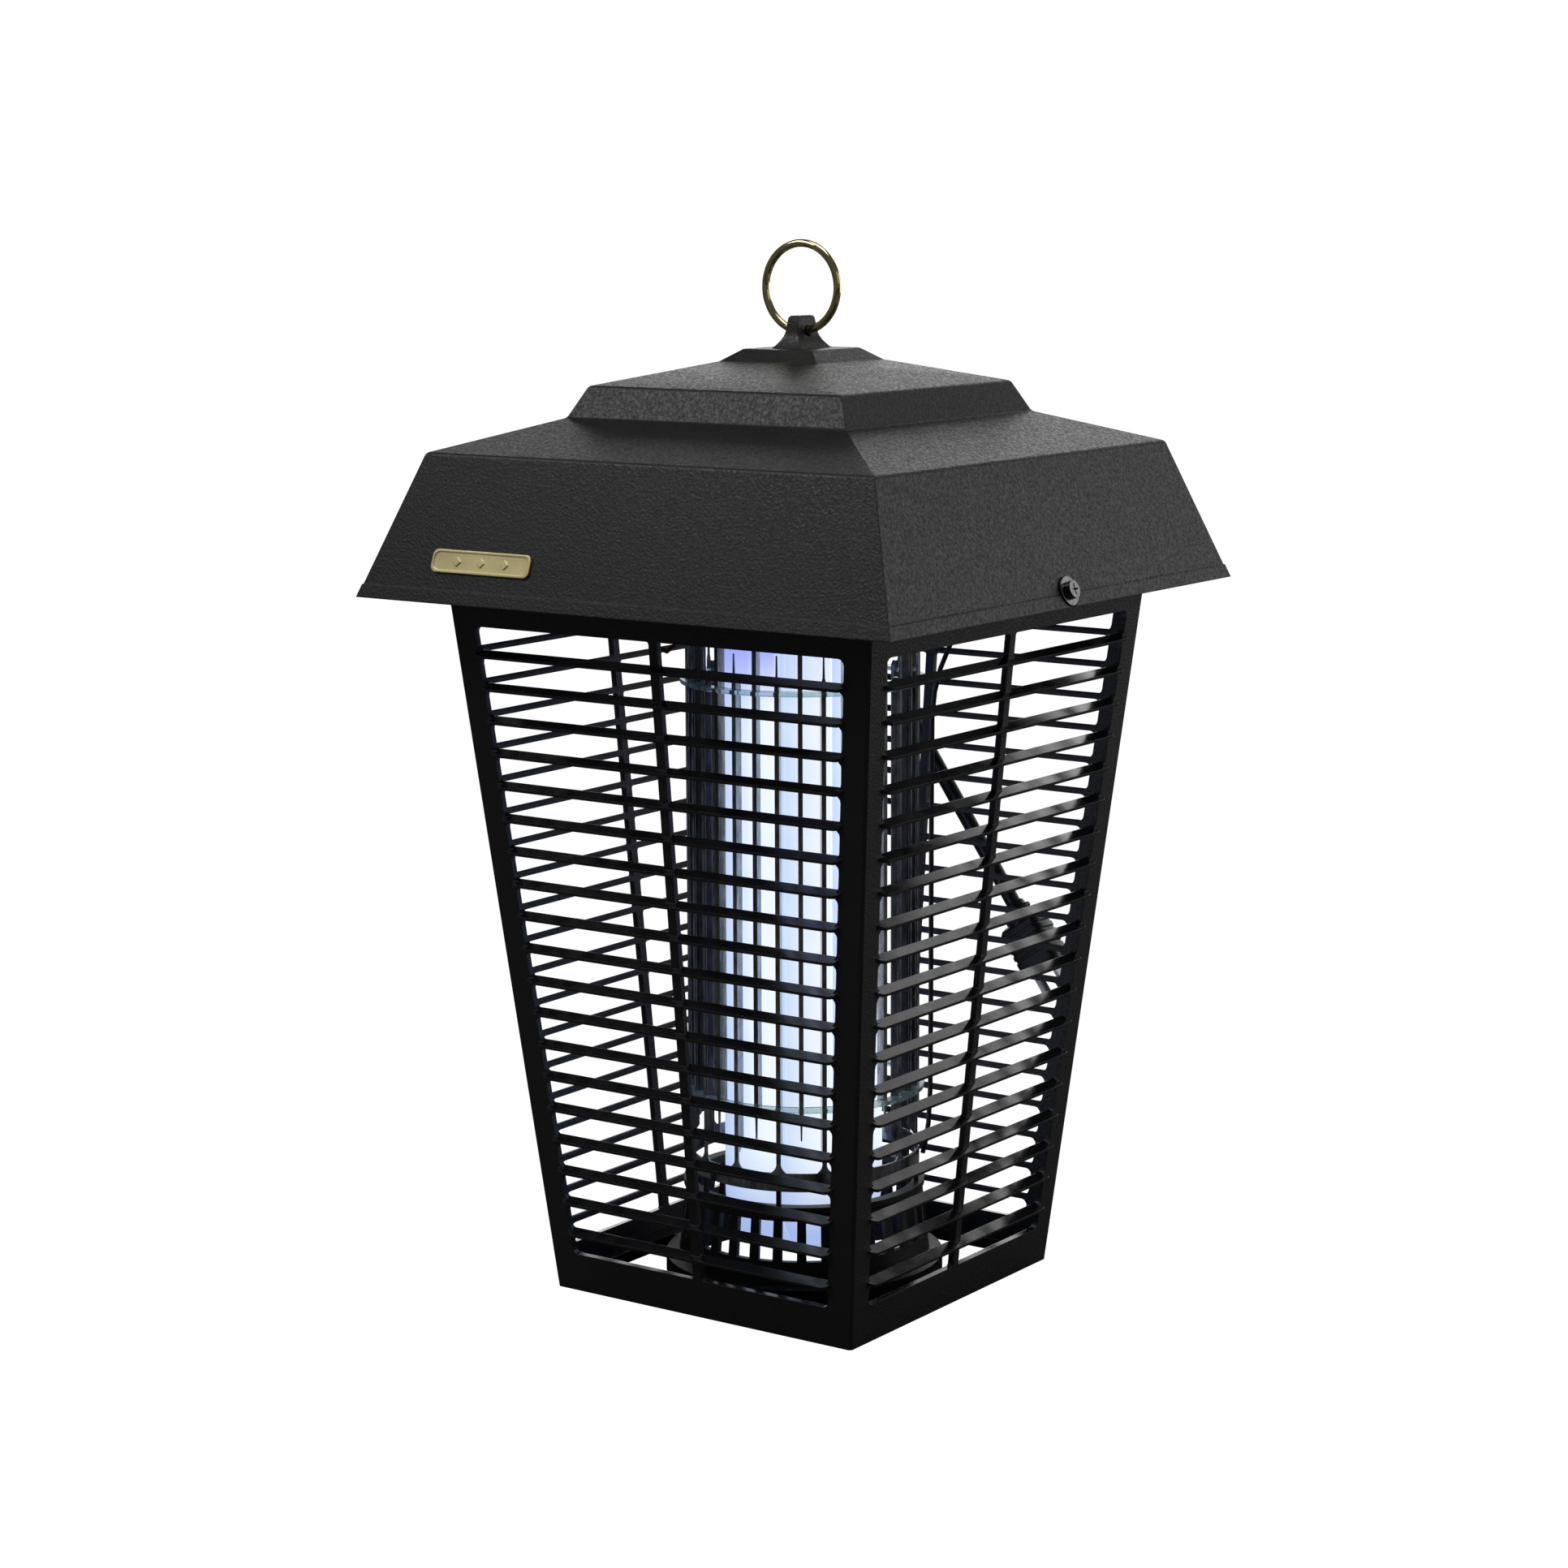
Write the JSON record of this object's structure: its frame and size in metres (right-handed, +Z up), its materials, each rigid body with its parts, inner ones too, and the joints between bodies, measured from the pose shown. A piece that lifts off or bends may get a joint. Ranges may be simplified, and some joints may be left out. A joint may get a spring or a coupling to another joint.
{
  "type": "electric bug zapper",
  "caption": "Lantern-shaped electric insect killer: a stepped square roof over a louvred, tapering cage with ultraviolet lamps inside a comb-shaped killing grid.",
  "frame": {"origin": "middle of the base, level with the lower edge of the cage", "axes": "+Z up through the hanging ring, -Y out of the side with the badge, +X towards a side with a roof screw, +Y out of the side with the mains cord"},
  "size_m": [0.3044, 0.3, 0.5042],
  "materials": {
    "roof_plastic": "matt black moulding with a fine leather-like grain",
    "cage_plastic": "satin black moulding with a fine grain",
    "insulator_plastic": "satin black moulding",
    "brass_ring": "polished brass plate",
    "gold_badge": "satin gold",
    "dark_steel": "blackened steel",
    "zinc_steel": "bright zinc plate",
    "galvanised_sheet": "dull galvanised sheet",
    "clear_plastic": "clear, faintly green",
    "lamp_glass": "coated glass that glows blue-white when lit",
    "lamp_metal": "satin aluminium",
    "contact_brass": "bright brass",
    "pale_plastic": "off-white moulding",
    "core_iron": "varnished laminations",
    "coil_copper": "enamelled copper winding",
    "red_wire": "red-brown insulation",
    "white_wire": "white insulation",
    "green_wire": "green insulation",
    "soft_rubber": "satin black rubber"
  },
  "bodies": {
    "housing": {"roof_shell": "roof_plastic", "badge": "gold_badge", "roof_screws": "dark_steel", "screw_washers": "dark_steel", "front_panel": "cage_plastic", "right_panel": "cage_plastic", "back_panel": "cage_plastic", "left_panel": "cage_plastic", "top_frame": "cage_plastic", "base_frame": "cage_plastic", "base_screws": "zinc_steel", "lower_insulator": "insulator_plastic", "upper_insulator": "insulator_plastic", "lower_electrode": "galvanised_sheet", "upper_electrode": "galvanised_sheet", "lower_spacer": "clear_plastic", "upper_spacer": "clear_plastic", "uv_tube": "lamp_glass", "lamp_caps": "lamp_metal", "lamp_pins": "contact_brass", "lamp_sockets": "pale_plastic", "chassis_plate": "zinc_steel", "chassis_screws": "zinc_steel", "ballast_can": "zinc_steel", "ballast_straps": "zinc_steel", "transformer_core": "core_iron", "transformer_coil": "coil_copper", "capacitor": "lamp_metal", "capacitor_clip": "zinc_steel", "starter": "pale_plastic", "starter_holder": "pale_plastic", "terminal_block": "pale_plastic", "terminal_screws": "contact_brass", "grid_leads": "red_wire", "lead_grommets": "soft_rubber", "lamp_leads": "white_wire", "mains_leads": "green_wire", "strain_relief": "insulator_plastic", "cord": "soft_rubber", "plug_body": "soft_rubber", "plug_blades": "contact_brass", "plug_ground_pin": "contact_brass"},
    "ring": {"hanging_ring": "brass_ring"}
  },
  "joints": [
    {"name": "ring_swing", "type": "hinge", "parent": "housing", "child": "ring", "pos_m": [0, 0, 0.4613], "axis": [1, 0, 0], "range_deg": [-100, 100]}
  ]
}
